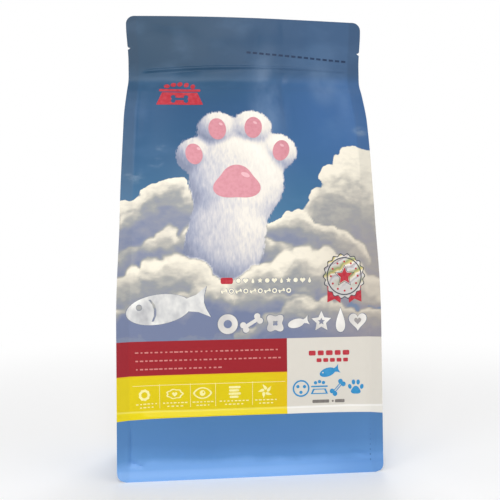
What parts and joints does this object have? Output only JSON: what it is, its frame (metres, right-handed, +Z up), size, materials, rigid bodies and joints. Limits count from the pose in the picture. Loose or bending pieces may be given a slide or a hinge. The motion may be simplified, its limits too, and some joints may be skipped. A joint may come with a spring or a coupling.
{
  "type": "pet food bag",
  "caption": "Filled, sealed flat-bottom pet food pouch of matt film with heat-sealed fins on its edges, folded side gussets and a flat header with zip rib and tear notches.",
  "frame": {"origin": "middle of the base on the surface the bag stands on", "axes": "+Z up to the header, the front panel faces -Y, the gussets face -X and +X"},
  "size_m": [0.2, 0.097, 0.36],
  "materials": {
    "printed_film": "matt printed laminate film"
  },
  "bodies": {
    "root": {"food_bag": "printed_film"}
  },
  "joints": []
}
